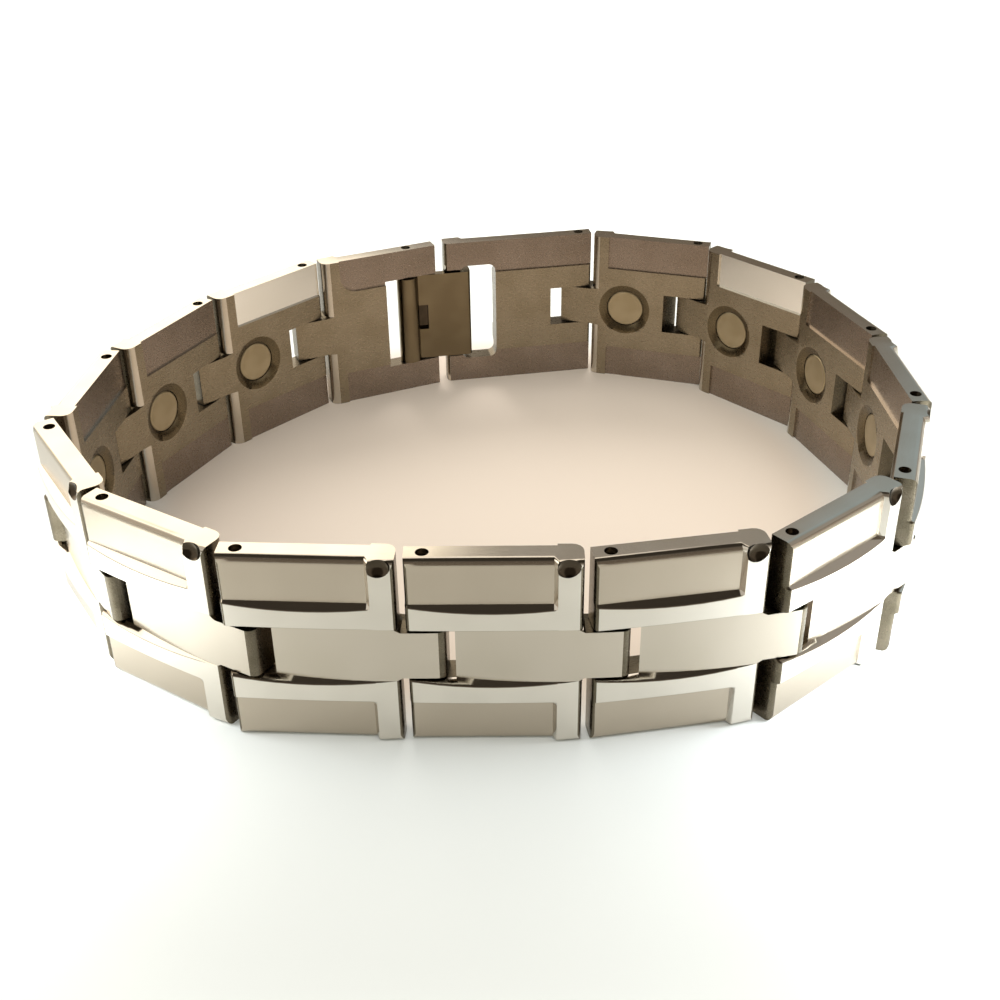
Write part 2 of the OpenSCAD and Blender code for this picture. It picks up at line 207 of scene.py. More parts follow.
class Finish(Enum):
    """The finishes that a piece's faces can have."""

    # Wheel-polished 316L steel: mirror-like, with slow waves that bend what it reflects
    POLISHED = MetalFinish(
        name="stainless_steel_wheel_polished", tone="#D6CFC4", drift="#D0C9BE", roughness=(0.08, 0.13),
        grain_mm=0.15, stretch=4.0, depth_mm=0.0002, patch_mm=4.0, wave_mm=0.003)
    # Satin-brushed along the band: soft tan-grey sheen with hair lines that fade into it
    SATIN = MetalFinish(
        name="stainless_steel_satin_brushed", tone="#B8AC9C", drift="#B2A696", roughness=(0.22, 0.27),
        grain_mm=0.08, stretch=40.0, depth_mm=0.0004, patch_mm=6.0, wave_mm=0.001)
    # Finer satin on the middle band, a little brighter than the panels
    BAND = MetalFinish(
        name="stainless_steel_fine_satin", tone="#C1B7A9", drift="#BBB1A2", roughness=(0.18, 0.23),
        grain_mm=0.08, stretch=40.0, depth_mm=0.0003, patch_mm=6.0, wave_mm=0.001)
    # Lapped side edges: glossy, but not a mirror
    EDGE = MetalFinish(
        name="stainless_steel_lapped", tone="#CAC3B7", drift="#C3BBAD", roughness=(0.12, 0.17),
        grain_mm=0.12, stretch=10.0, depth_mm=0.0003, patch_mm=4.0, wave_mm=0.002)
    # Wrist side, barrel-finished: darker, warm and half glossy
    WRIST = MetalFinish(
        name="stainless_steel_barrel_finished", tone="#988C78", drift="#90846F", roughness=(0.26, 0.30),
        grain_mm=0.14, stretch=3.0, depth_mm=0.00006, patch_mm=3.0, wave_mm=0.002, metallic=0.86)
    # Sunk wrist panels, satin-blasted: a shade greyer and rosier than the wrist side round them
    SUNK = MetalFinish(
        name="stainless_steel_blasted", tone="#94867A", drift="#8C7E71", roughness=(0.26, 0.30),
        grain_mm=0.12, stretch=2.0, depth_mm=0.00006, patch_mm=4.0, wave_mm=0.002, metallic=0.86)
    # Milled walls in notches, slots and bores and the links' end faces, left as cut and dull, and toned dark
    # brown-grey as painted shade in these gaps and recesses
    CUT = MetalFinish(
        name="stainless_steel_as_milled_painted_shade", tone="#6E6556", drift="#625A4B", roughness=(0.24, 0.34),
        grain_mm=0.10, stretch=5.0, depth_mm=0.001, patch_mm=2.0, wave_mm=0.002)
    # Ball-milled scoop and the lever's window, toned dark as painted shade for the dark surroundings that a
    # hollow reflects, with a wet-looking gloss
    PAINTED_SHADE_HOLLOW = MetalFinish(
        name="stainless_steel_ball_milled_painted_shade", tone="#4C4338", drift="#423A30", roughness=(0.10, 0.16),
        grain_mm=0.15, stretch=1.0, depth_mm=0.0004, patch_mm=1.0, wave_mm=0.004)
    # Upper wrist panels of a few links, toned nearly white as a painted highlight for the room's light that
    # they catch
    PAINTED_HIGHLIGHT = MetalFinish(
        name="stainless_steel_painted_highlight", tone="#F6F6F2", drift="#F1F1EC", roughness=(0.14, 0.20),
        grain_mm=0.10, stretch=20.0, depth_mm=0.0002, patch_mm=5.0, wave_mm=0.001)
    # Countersunk rim round a magnet: the cutter's dull rings, toned dark as painted shade
    RIM = MetalFinish(
        name="stainless_steel_countersunk_painted_shade", tone="#6E634E", drift="#665B47", roughness=(0.24, 0.32),
        grain_mm=0.12, stretch=1.0, depth_mm=0.0008, patch_mm=2.0, wave_mm=0.002)
    # Nickel-plated magnet with a tumbled skin: tan grey and soft
    MAGNET = MetalFinish(
        name="nickel_plate_tumbled", tone="#B2A385", drift="#A8997B", roughness=(0.30, 0.40),
        grain_mm=0.16, stretch=1.0, depth_mm=0.001, patch_mm=1.6, wave_mm=0.002, metallic=0.8)
    # Drawn wire of the pins, toned dark as painted shade for their ends down in their bores
    WIRE = MetalFinish(
        name="steel_wire_drawn_painted_shade", tone="#6F6A62", drift="#5F5A52", roughness=(0.30, 0.42),
        grain_mm=0.08, stretch=1.0, depth_mm=0.001, patch_mm=1.0, wave_mm=0.001)
    # Stamped lever: dark satin with the press's fine lines
    LEVER = MetalFinish(
        name="stainless_steel_stamped", tone="#7A6E58", drift="#6F634E", roughness=(0.16, 0.24),
        grain_mm=0.12, stretch=12.0, depth_mm=0.0008, patch_mm=3.0, wave_mm=0.004)


Materials = dict[Finish, bpy.types.Material]


@dataclass(frozen=True)
class Seat:
    """Place of a link in the loop.

    Attributes:
        pin: foot of the hinge pin that it turns on.
        heading: direction of its length, in radians from +X.
    """

    pin: Vector
    heading: float

    def to_loop(self) -> Matrix:
        """Gives the matrix from the link's own frame, with the wrist at +Y, to the bracelet's."""
        return Matrix.Translation(self.pin) @ Matrix.Rotation(self.heading, 4, "Z")


def pin_foot(node: str) -> Vector:
    """Finds the foot of an upright pin.

    Args:
        node: the pin's node.

    Returns:
        The middle of its box, at the height of the side edge.
    """
    low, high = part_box(node)
    return Vector(((low.x + high.x) / 2, (low.y + high.y) / 2, 0.0))


def heading_of(step: Vector) -> float:
    """Gives the direction of a step, in radians from +X."""
    return math.atan2(step.y, step.x)


def loop_seats(closing_reach: float) -> list[Seat]:
    """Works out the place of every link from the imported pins.

    Args:
        closing_reach: from the lever's pin to the middle of the gap between the two end links, in metres.

    Returns:
        The seats in order, from the hinge end link round to the slotted one.
    """
    pins = [pin_foot(f"hinge_pin_{i:02d}") for i in range(1, REGULAR_LINKS + 2)]
    lever_pin = pin_foot("clasp_pin")
    pitch = (pins[1] - pins[0]).length
    along = (pins[0] - lever_pin).normalized()
    closing = lever_pin - along * closing_reach
    seats = [Seat(pins[0] - along * pitch, heading_of(along))]
    seats += [Seat(here, heading_of(there - here)) for here, there in zip(pins, pins[1:])]
    seats.append(Seat(pins[-1], heading_of(closing - pins[-1])))
    return seats


def only(piece: bpy.types.Object) -> None:
    """Selects one object alone and makes it active.

    Args:
        piece: the object.
    """
    bpy.ops.object.select_all(action="DESELECT")
    piece.select_set(True)
    bpy.context.view_layer.objects.active = piece


def near(one: float, other: float) -> bool:
    """Tells whether two lengths are the same, in millimetres."""
    return abs(one - other) < NEAR


def pick(piece: bpy.types.Object, kind: str, items: Callable[[bpy.types.Mesh], Any],
         wanted: Callable[[Any], bool]) -> None:
    """Selects the parts of a mesh that a test picks, and leaves it open for editing.

    Args:
        piece: the object.
        kind: "VERT", "EDGE" or "FACE".
        items: gives those parts of the mesh.
        wanted: a test of one part.
    """
    if bpy.context.mode != "OBJECT":
        bpy.ops.object.mode_set(mode="OBJECT")
    only(piece)
    bpy.ops.object.mode_set(mode="EDIT")
    bpy.ops.mesh.select_mode(type=kind)
    bpy.ops.mesh.select_all(action="DESELECT")
    bpy.ops.object.mode_set(mode="OBJECT")
    for item in items(piece.data):
        item.select = wanted(item)
    bpy.ops.object.mode_set(mode="EDIT")


def pick_points(piece: bpy.types.Object, wanted: Callable[[Vector], bool]) -> None:
    """Selects points by their place."""
    pick(piece, "VERT", lambda mesh: mesh.vertices, lambda point: wanted(point.co))


def pick_edges(piece: bpy.types.Object, wanted: Callable[[Vector, Vector], bool]) -> None:
    """Selects edges by the places of their two ends."""
    points = piece.data.vertices
    pick(piece, "EDGE", lambda mesh: mesh.edges,
         lambda edge: wanted(*(points[v].co for v in edge.vertices)))


def pick_faces(piece: bpy.types.Object, wanted: Callable[[Vector, Vector], bool]) -> None:
    """Selects faces by their middle and their normal."""
    pick(piece, "FACE", lambda mesh: mesh.polygons, lambda face: wanted(face.center, face.normal))


class Axis(Enum):
    """The way that a round piece lies in its link, as the turn that lays an upright one so."""

    TO_WRIST = (-math.pi / 2, 0.0, 0.0)
    UPRIGHT = (0.0, 0.0, 0.0)


def round_cutter(radius: float, depth: float, middle: Triple, axis: Axis, sides: int = 64,
                 tip_r: float | None = None) -> bpy.types.Object:
    """Makes a cylinder or cone for cutting.

    Args:
        radius: its radius, at the upper or wrist end where it is a cone.
        depth: its length.
        middle: its middle.
        axis: the way that it lies.
        sides: faces round it.
        tip_r: radius of a cone's other end.

    Returns:
        The cutter.
    """
    bpy.ops.object.select_all(action="DESELECT")
    bpy.ops.mesh.primitive_cone_add(
        vertices=sides, radius1=radius if tip_r is None else tip_r, radius2=radius, depth=depth,
        location=middle, rotation=axis.value)
    bpy.ops.object.transform_apply(location=True, rotation=True, scale=True)
    return bpy.context.active_object


def ball_cutter(radius: float, middle: Vector, sides: int = 64) -> bpy.types.Object:
    """Makes a ball for cutting.

    Args:
        radius: its radius.
        middle: its middle.
        sides: faces round its equator.

    Returns:
        The cutter.
    """
    bpy.ops.object.select_all(action="DESELECT")
    bpy.ops.mesh.primitive_uv_sphere_add(
        segments=sides, ring_count=sides // 2, radius=radius, location=middle)
    bpy.ops.object.transform_apply(location=True, rotation=True, scale=True)
    return bpy.context.active_object


def box_cutter(low: Triple, high: Triple, corner_r: float = 0.0, corner: tuple[float, float] | None = None,
               corner_steps: int = 10) -> bpy.types.Object:
    """Makes a box for cutting, with round corners seen along Y.

    Args:
        low: its lowest corner.
        high: its highest corner.
        corner_r: radius of the rounded corners, or 0 for sharp ones.
        corner: place in X and Z of the one corner that is rounded, or nothing for all four.
        corner_steps: faces round a corner.

    Returns:
        The cutter.
    """
    low, high = Vector(low), Vector(high)
    bpy.ops.object.select_all(action="DESELECT")
    bpy.ops.mesh.primitive_cube_add(size=1, location=(low + high) / 2, scale=high - low)
    cutter = bpy.context.active_object
    bpy.ops.object.transform_apply(location=True, rotation=True, scale=True)
    if corner_r > 0:
        pick_edges(cutter, lambda start, end: near(start.x, end.x) and near(start.z, end.z) and (
            corner is None or (near(start.x, corner[0]) and near(start.z, corner[1]))))
        bpy.ops.mesh.bevel(offset=corner_r, segments=corner_steps, affect="EDGES")
        bpy.ops.object.mode_set(mode="OBJECT")
    return cutter


def combine(piece: bpy.types.Object, other: bpy.types.Object, operation: str = "DIFFERENCE") -> None:
    """Cuts a second shape out of a piece or joins it on, and takes the second shape away.

    Args:
        piece: the piece.
        other: the second shape.
        operation: Blender's name for the way that the two are combined.
    """
    combined = piece.modifiers.new("combined", "BOOLEAN")
    combined.operation = operation
    combined.solver = "EXACT"
    combined.object = other
    only(piece)
    bpy.ops.object.modifier_apply(modifier=combined.name)
    bpy.data.objects.remove(other)


def keep_places(piece: bpy.types.Object, unit: float = MM) -> None:
    """Stores each point's place along its own piece, in millimetres, for the marks of the finish.

    Args:
        piece: the object, still in its own frame.
        unit: length of a millimetre in that frame.
    """
    places = piece.data.attributes.new(PLACE, "FLOAT_VECTOR", "POINT")
    for spot, point in zip(places.data, piece.data.vertices):
        spot.vector = point.co / unit


def dress_faces(piece: bpy.types.Object, finish_at: Callable[[Vector, Vector], Finish],
                materials: Materials) -> None:
    """Gives each face its finish.

    Args:
        piece: the object, still in its own frame.
        finish_at: gives the finish for a face's middle and its normal.
        materials: the material of each finish.
    """
    slots: list[Finish] = []
    piece.data.materials.clear()
    for face in piece.data.polygons:
        finish = finish_at(face.center, face.normal)
        if finish not in slots:
            slots.append(finish)
            piece.data.materials.append(materials[finish])
        face.material_index = slots.index(finish)


def smooth(piece: bpy.types.Object, angle: float) -> None:
    """Shades a piece smooth up to an angle, and keeps its broad faces flat.

    Args:
        piece: the object.
        angle: the sharpest corner that is shaded round, in degrees.
    """
    only(piece)
    bpy.ops.object.shade_smooth_by_angle(angle=math.radians(angle))
    even = piece.modifiers.new("even", "WEIGHTED_NORMAL")
    even.keep_sharp = True
    bpy.ops.object.modifier_apply(modifier=even.name)


def seated_copy(template: bpy.types.Object, name: str, to_loop: Matrix) -> bpy.types.Object:
    """Copies a finished template, with a mesh of its own, to its place in the loop.

    Args:
        template: the piece in its own frame.
        name: the copy's name.
        to_loop: the matrix from that frame to the bracelet's.

    Returns:
        The copy, whose object lies at the origin.
    """
    piece = template.copy()
    piece.data = template.data.copy()
    piece.name = piece.data.name = name
    bpy.context.scene.collection.objects.link(piece)
    piece.data.transform(to_loop)
    return piece


def hand_over(piece: bpy.types.Object, node: str, body: str) -> None:
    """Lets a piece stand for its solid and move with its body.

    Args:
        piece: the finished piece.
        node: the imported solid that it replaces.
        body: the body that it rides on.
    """
    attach(piece, body)
    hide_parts(node)
    log.info("%s stands for %s on %s, %d faces", piece.name, node, body, len(piece.data.polygons))


def bow_radius(half: float, drop: float) -> float:
    """Gives the radius of an arc that falls by a drop over half its length."""
    return (half ** 2 + drop ** 2) / (2 * drop)


class CrestLine(Enum):
    """The two lines along a lip's crest: by the middle band, and by the satin panel."""

    INNER = "inner"
    OUTER = "outer"


@dataclass
class LinkShape:
    """A link, modelled from a cube that is cut into a grid, shaped row by row, rounded and bored.

    Sizes are in millimetres, in the link's own frame: x along the band from its pin, wrist at +y, z up.

    Attributes:
        name: the template's name.
        materials: the material of each finish.
        end_x: where the body ends.
        notch_half: half height of the notch or mouth.
        notch_out: bottom of the notch on the outer side.
        notch_in: bottom of the notch on the wrist side.
        bores: places along the link of its bores.
        bore_r: radius of the bores.
        has_tongue: whether a tongue goes on from the body.
        has_magnet: whether a magnet sits in the wrist side.
        has_scoop: whether the strip has a scoop at its top.
        sunk_to: how far along the link the sunk wrist panels reach.
        sunk_corner_r: radius of the upper wrist panel's far corner.
        painted_highlight_panel: whether its upper wrist panel is toned nearly white as a painted highlight.
        slot: near end, far end and half height of the clasp's slot, where there is one.
        bed: near end, half height and depth of the lever's bed, where there is one.
        band_w: height of the link as it stands.
        pin_back: reach of the body behind the pin.
        panel_t: depth of the satin panels outward of the pins.
        inner_t: depth of the wrist side inward of the pins.
        frame_t: largest depth of the polished frame.
        frame_drop: how much the frame falls towards both ends.
        band_t: largest depth of the middle band.
        band_bow_x: top of the middle band's bow.
        band_bow_half: half length over which the bow's fall is given.
        band_drop: that fall.
        band_half: half height of the middle band.
        lip_w: width of a lip's crest.
        strip_w: width of the strip at the link's end.
        lean: how much the lips' walls lean, as a share of their height.
        tongue_half: half height of the tongue.
        root_x: where the tongue has its full section.
        tongue_rows: rows between its root and its tip.
        tip_x: where the tongue ends.
        tip_r: radius of its tip on the outer side.
        tip_wrist_r: radius of its tip on the wrist side.
        tip_steps: steps of those roundings.
        nose_r: radius at the end, on the wrist side.
        edge_r: radius of the long outer edges.
        corner_r: radius of the other upright corners.
        crest_r: radius of the polished frame's crests.
        sunk_in: inner line of the sunk wrist panels, from the middle.
        sunk_depth: depth of the sunk wrist panels.
        magnet_x: middle of the magnet's pocket.
        pocket_r: radius of that pocket.
        pocket_depth: its depth.
        rim_w: width of the sloped rim round it.
        rim_depth: depth of that rim.
        scoop_r: radius of the scoop.
        scoop_place: centre of the scoop, from the body's end.
        slot_corner_r: radius of the slot's corners.
        fork_rows: rows of the grid beside the notch.
        row_step: length of the rows between the notch and the strip.
        strip_row_back: how far the strip's middle row stands back from its middle.
        crest_rounds: rounds in which the place of the strip's crest settles.
        round_steps: faces across a rounded edge.
        bore_sides: faces round a bore.
        over: how far a cutter reaches past what it cuts.
        crease: the sharpest corner that is shaded round, in degrees.
        band_spill: how far the middle band's finish runs up the lips' feet.
        corner_turn: share of a normal along the link from which an end's face is as cut.
        edge_turn: share of a normal up or down from which a face belongs to a side edge.
    """

    name: str
    materials: Materials
    end_x: float = 10.75
    notch_half: float = 2.05
    notch_out: float = 2.05
    notch_in: float = 3.05
    bores: tuple[float, ...] = (0.0, 12.5)
    bore_r: float = 0.465
    has_tongue: bool = True
    has_magnet: bool = True
    has_scoop: bool = True
    sunk_to: float = 9.0
    sunk_corner_r: float = 0.0
    painted_highlight_panel: bool = False
    slot: tuple[float, ...] = ()
    bed: tuple[float, ...] = ()
    band_w: float = 15.5
    pin_back: float = 1.25
    panel_t: float = 1.05
    inner_t: float = 0.9
    frame_t: float = 1.7
    frame_drop: float = 0.42
    band_t: float = 1.35
    band_bow_x: float = 8.75
    band_bow_half: float = 6.7
    band_drop: float = 0.35
    band_half: float = 2.05
    lip_w: float = 1.4
    strip_w: float = 2.0
    lean: float = 0.6
    tongue_half: float = 1.95
    root_x: float = 10.9
    tongue_rows: tuple[float, ...] = (11.8, 12.7)
    tip_x: float = 14.0
    tip_r: float = 0.525
    tip_wrist_r: float = 0.375
    tip_steps: int = 6
    nose_r: float = 0.8
    edge_r: float = 0.6
    corner_r: float = 0.25
    crest_r: float = 0.06
    sunk_in: float = 4.4
    sunk_depth: float = 0.2
    magnet_x: float = 7.15
    pocket_r: float = 1.94
    pocket_depth: float = 1.64
    rim_w: float = 0.75
    rim_depth: float = 0.4
    scoop_r: float = 1.07
    scoop_place: Triple = (-1.0, -2.013, 15.2)
    slot_corner_r: float = 0.7
    fork_rows: int = 3
    row_step: float = 1.3
    strip_row_back: float = 0.05
    crest_rounds: int = 4
    round_steps: int = 4
    bore_sides: int = 32
    over: float = 1.0
    crease: float = 33.0
    band_spill: float = 0.12
    corner_turn: float = 0.3
    edge_turn: float = 0.75

    def __post_init__(self) -> None:
        """Works out the lines that the relief follows."""
        self.mid = self.band_w / 2
        self.band_bow_r = bow_radius(self.band_bow_half, self.band_drop)
        self.tip_t = self._bow(self.tip_x)
        self.strip_x = self.end_x - self.strip_w
        slope = self.lean * (self.frame_t - self.panel_t)
        self.lip_in = self.band_half + slope
        self.lip_out = self.lip_in + self.lip_w
        self.panel_half = self.lip_out + slope
        self.strip_crest_x = self.strip_x
        for _ in range(self.crest_rounds):
            self.strip_crest_x = self.strip_x + self.lean * self._rise(self.strip_crest_x)

    def build(self) -> bpy.types.Object:
        """Models the link.

        Returns:
            The template, in metres in its own frame, to be copied to each place.
        """
        piece = self._grid()
        self._open_notch(piece)
        self._raise_relief(piece)
        self._round_edges(piece)
        if self.has_tongue:
            self._draw_tongue(piece)
        self._bore_pins(piece)
        self._sink_panels(piece)
        if self.has_magnet:
            self._sink_pocket(piece)
        if self.has_scoop:
            combine(piece, ball_cutter(self.scoop_r, self._scoop_middle()))
        self._fit_clasp(piece)
        smooth(piece, self.crease)
        keep_places(piece, 1.0)
        dress_faces(piece, self.finish_at, self.materials)
        piece.data.transform(Matrix.Scale(MM, 4))
        return piece

    def _crest(self, x: float) -> float:
        """Works out the polished frame's depth, which falls in an arc towards both ends.

        Args:
            x: the place along the link.

        Returns:
            The depth outward of the pins.
        """
        half = (self.end_x + self.pin_back) / 2
        bow_r = bow_radius(half, self.frame_drop)
        return self.frame_t - bow_r + math.sqrt(bow_r ** 2 - (x - self.end_x + half) ** 2)

    def _rise(self, x: float) -> float:
        """Gives how far the polished frame stands out of the panels at a place along the link."""
        return self._crest(x) - self.panel_t

    def _bow(self, x: float) -> float:
        """Gives the depth of the middle band's bow at a place along the link."""
        off_top = x - self.band_bow_x
        return self.band_t - self.band_bow_r + math.sqrt(self.band_bow_r ** 2 - off_top ** 2)

    def _band(self, x: float) -> float:
        """Works out the middle band's depth, with the fall of the tongue's tip.

        Args:
            x: the place along the link.

        Returns:
            The depth outward of the pins.
        """
        past = x - self.tip_x + self.tip_r
        if past <= 0 or not self.has_tongue:
            return self._bow(x)
        tip = self.tip_t - self.tip_r + math.sqrt(max(0.0, self.tip_r ** 2 - past ** 2))
        return min(self._bow(x), tip)

    def _rows(self) -> list[float]:
        """Works out the places along the link where the grid is cut.

        Returns:
            The places in order, both ends with them.
        """
        behind, before = self.notch_out + self.pin_back, self.strip_x - self.notch_out
        steps = round(before / self.row_step)
        strip_row = (self.strip_crest_x + self.end_x) / 2 - self.strip_row_back
        fork = [-self.pin_back + behind * k / self.fork_rows for k in range(self.fork_rows)]
        run = [self.notch_out + before * k / steps for k in range(steps + 1)]
        return [*fork, *run, self.strip_crest_x, strip_row, self.end_x]

    def _grid(self) -> bpy.types.Object:
        """Makes the body's block and cuts it into the grid that the relief needs.

        Returns:
            The block.
        """
        depth = self.panel_t + self.inner_t
        bpy.ops.object.select_all(action="DESELECT")
        bpy.ops.mesh.primitive_cube_add(
            size=1, location=((self.end_x - self.pin_back) / 2, self.inner_t - depth / 2, self.mid),
            scale=(self.end_x + self.pin_back, depth, self.band_w))
        piece = bpy.context.active_object
        piece.name = self.name
        bpy.ops.object.transform_apply(location=True, rotation=True, scale=True)
        lines = sorted({self.band_half, self.lip_in, self.lip_out, self.panel_half, self.notch_half})
        bpy.ops.object.mode_set(mode="EDIT")
        for x in self._rows()[1:-1]:
            bpy.ops.mesh.select_all(action="SELECT")
            bpy.ops.mesh.bisect(plane_co=(x, 0, 0), plane_no=(1, 0, 0))
        for line in lines:
            for side in (-1, 1):
                bpy.ops.mesh.select_all(action="SELECT")
                bpy.ops.mesh.bisect(plane_co=(0, 0, self.mid + side * line), plane_no=(0, 0, 1))
        bpy.ops.object.mode_set(mode="OBJECT")
        return piece

    def _open_notch(self, piece: bpy.types.Object) -> None:
        """Takes out the notch's cells and bridges its walls, whose bottom leans.

        Args:
            piece: the block.
        """
        half, bottom = self.notch_half, self.notch_out
        pick_faces(piece, lambda spot, facing: (
            abs(spot.z - self.mid) < half and spot.x < bottom and abs(facing.z) < FACING))
        bpy.ops.mesh.delete(type="FACE")

        def on_rim(start: Vector, end: Vector) -> bool:
            """Tells whether an edge lies on the open rim of the notch.

            Args:
                start: one end of the edge.
                end: its other end.

            Returns:
                Whether it does.
            """
            if not near(start.y, end.y):
                return False
            ends = (start, end)
            along = near(start.z, end.z) and all(
                near(abs(p.z - self.mid), half) and p.x < bottom + NEAR for p in ends)
            return along or all(near(p.x, bottom) and abs(p.z - self.mid) < half + NEAR for p in ends)

        pick_edges(piece, on_rim)
        bpy.ops.mesh.bridge_edge_loops()
        pick_points(piece, lambda p: (
            near(p.x, bottom) and near(p.y, self.inner_t) and abs(p.z - self.mid) < half + NEAR))
        bpy.ops.transform.translate(value=(self.notch_in - bottom, 0, 0))
        bpy.ops.object.mode_set(mode="OBJECT")

    def _raise_relief(self, piece: bpy.types.Object) -> None:
        """Raises lips, strip and middle band out of the outer side, row by row.

        Args:
            piece: the block with its notch.
        """
        for x in self._rows():
            rise = self._rise(x)
            # The feet of the lips' walls stay where they are, so a lower crest is a wider one
            shift = self.lean * (self.frame_t - self.panel_t - rise)
            for side in (-1, 1):
                self._lift(piece, x, side * self.lip_in, (0, -rise, -side * shift))
                self._lift(piece, x, side * self.lip_out, (0, -rise, side * shift))
                if x > self.notch_out - NEAR:
                    lift = self._band(x) - self.panel_t
                    reach = self.lean * max(0.0, min(lift, rise))
                    self._lift(piece, x, side * self.band_half, (0, -lift, side * reach))
            if x > self.strip_x + NEAR:
                pick_points(piece, lambda p: (
                    near(p.x, x) and near(p.y, -self.panel_t) and abs(p.z - self.mid) > self.lip_out))
                bpy.ops.transform.translate(value=(0, -rise, 0))
        bpy.ops.object.mode_set(mode="OBJECT")

    def _lift(self, piece: bpy.types.Object, x: float, line: float, step: Triple) -> None:
        """Moves the outer point where a row crosses a line.

        Args:
            piece: the block.
            x: the row.
            line: the line, from the middle.
            step: how far it moves.
        """
        pick_points(piece, lambda p: (
            near(p.x, x) and near(p.y, -self.panel_t) and near(p.z, self.mid + line)))
        bpy.ops.transform.translate(value=step)

    def _round_edges(self, piece: bpy.types.Object) -> None:
        """Rounds the block's edges, each with its own radius.

        Args:
            piece: the block with its relief.
        """
        back, end = -self.pin_back, self.end_x

        def on_nose(start: Vector, stop: Vector) -> bool:
            """Tells whether an edge lies at the end on the wrist side."""
            return all(near(p.x, end) and near(p.y, self.inner_t) for p in (start, stop))

        def on_side(start: Vector, stop: Vector) -> bool:
            """Tells whether an edge is one of the two long outer ones."""
            along = near(start.z, stop.z) and not near(start.x, stop.x) and start.y < 0 and stop.y < 0
            return along and near(abs(start.z - self.mid), self.mid)

        def on_corner(start: Vector, stop: Vector) -> bool:
            """Tells whether an edge is one of the other upright corners.

            Args:
                start: one end of the edge.
                stop: its other end.

            Returns:
                Whether it is.
            """
            if not near(start.x, stop.x) or near(start.z, stop.z):
                return False
            outer = start.y < 0 and stop.y < 0
            inner = near(start.y, self.inner_t) and near(stop.y, self.inner_t)
            return (near(start.x, back) and (outer or inner)) or (near(start.x, end) and outer)

        def on_crest(start: Vector, stop: Vector) -> bool:
            """Tells whether an edge runs along a lip's crest."""
            line = self._crest_line(start)
            return line is not None and line is self._crest_line(stop) and not near(start.x, stop.x)

        # The modifier rounds by its width times an edge's weight, and the nose is the widest
        radii = ((self.nose_r, on_nose), (self.edge_r, on_side), (self.corner_r, on_corner),
                 (self.crest_r, on_crest))
        for radius, wanted in radii:
            pick_edges(piece, wanted)
            bpy.ops.transform.edge_bevelweight(value=radius / self.nose_r)
        bpy.ops.object.mode_set(mode="OBJECT")
        rounding = piece.modifiers.new("rounding", "BEVEL")
        rounding.width = self.nose_r
        rounding.segments = self.round_steps
        rounding.limit_method = "WEIGHT"
        rounding.miter_outer = "MITER_ARC"
        rounding.use_clamp_overlap = False
        only(piece)
        bpy.ops.object.modifier_apply(modifier=rounding.name)

    def _crest_line(self, point: Vector) -> CrestLine | None:
        """Finds the crest line that a point lies on.

        Args:
            point: the point.

        Returns:
            The line, or nothing where the point lies on none.
        """
        rise = self._rise(min(max(point.x, -self.pin_back), self.end_x))
        if not near(-point.y, self.panel_t + rise):
            return None
        off_middle = abs(point.z - self.mid)
        if near(off_middle, self.band_half + self.lean * rise) and point.x < self.strip_crest_x + NEAR:
            return CrestLine.INNER
        return CrestLine.OUTER if near(off_middle, self.panel_half - self.lean * rise) else None

    def _draw_tongue(self, piece: bpy.types.Object) -> None:
        """Draws the tongue out of the body's end, row by row.

        Args:
            piece: the rounded block.
        """
        pick_faces(piece, lambda spot, facing: facing.x > TURNED and spot.x > self.end_x - self.nose_r
                   and abs(spot.z - self.mid) < self.tongue_half / 2)
        bpy.ops.mesh.extrude_region_move(TRANSFORM_OT_translate={"value": (0, 0, 0)})
        # The root is pressed flat along the link, and then to the tongue's height
        bpy.ops.transform.resize(value=(0, 1, 1), center_override=(self.root_x, 0, self.mid))
        for side in (-1, 1):
            pick_points(piece, lambda p: near(p.x, self.root_x) and side * (p.z - self.mid) > 0)
            bpy.ops.transform.resize(
                value=(1, 1, 0), center_override=(self.root_x, 0, self.mid + side * self.tongue_half))
        # Each row is drawn on from the one before, and its outer side set to the band's depth
        row = self.root_x
        bow = [self.tip_x - self.tip_r * (1 - math.sin(math.radians(90 * k / self.tip_steps)))
               for k in range(self.tip_steps + 1)]
        for x in [self.root_x, *self.tongue_rows, *bow]:
            if x > row:
                pick_faces(piece, lambda spot, facing: facing.x > STRAIGHT and near(spot.x, row)
                           and abs(spot.z - self.mid) < self.tongue_half)
                bpy.ops.mesh.extrude_region_move(TRANSFORM_OT_translate={"value": (x - row, 0, 0)})
                bpy.ops.object.mode_set(mode="OBJECT")
                row = x
            crest = max(-point.co.y for point in piece.data.vertices if near(point.co.x, x))
            pick_points(piece, lambda p: near(p.x, x) and p.y < 0)
            bpy.ops.transform.resize(
                value=(1, self._band(x) / crest, 1), center_override=(x, 0, self.mid))
            bpy.ops.object.mode_set(mode="OBJECT")
        pick_edges(piece, lambda start, stop: all(
            near(p.x, self.tip_x) and near(p.y, self.inner_t) for p in (start, stop)))
        bpy.ops.mesh.bevel(offset=self.tip_wrist_r, segments=self.tip_steps, affect="EDGES")
        bpy.ops.object.mode_set(mode="OBJECT")

    def _bore_pins(self, piece: bpy.types.Object) -> None:
        """Bores the holes of the pins through the whole height.

        Args:
            piece: the block with its tongue.
        """
        tall = self.band_w + 2 * self.over
        for x in self.bores:
            place = (x, 0, self.mid)
            combine(piece, round_cutter(self.bore_r, tall, place, Axis.UPRIGHT, self.bore_sides))

    def _sink_panels(self, piece: bpy.types.Object) -> None:
        """Sinks the lower and the upper panel of the wrist side.

        Args:
            piece: the bored block.
        """
        behind, wrist = -self.pin_back - self.over, self.inner_t + self.over
        floor = self.inner_t - self.sunk_depth
        lower, upper = self.mid - self.sunk_in, self.mid + self.sunk_in
        combine(piece, box_cutter((behind, floor, -self.over), (self.sunk_to, wrist, lower)))
        combine(piece, box_cutter(
            (behind, floor, upper), (self.sunk_to, wrist, self.band_w + self.over),
            self.sunk_corner_r, (self.sunk_to, upper)))

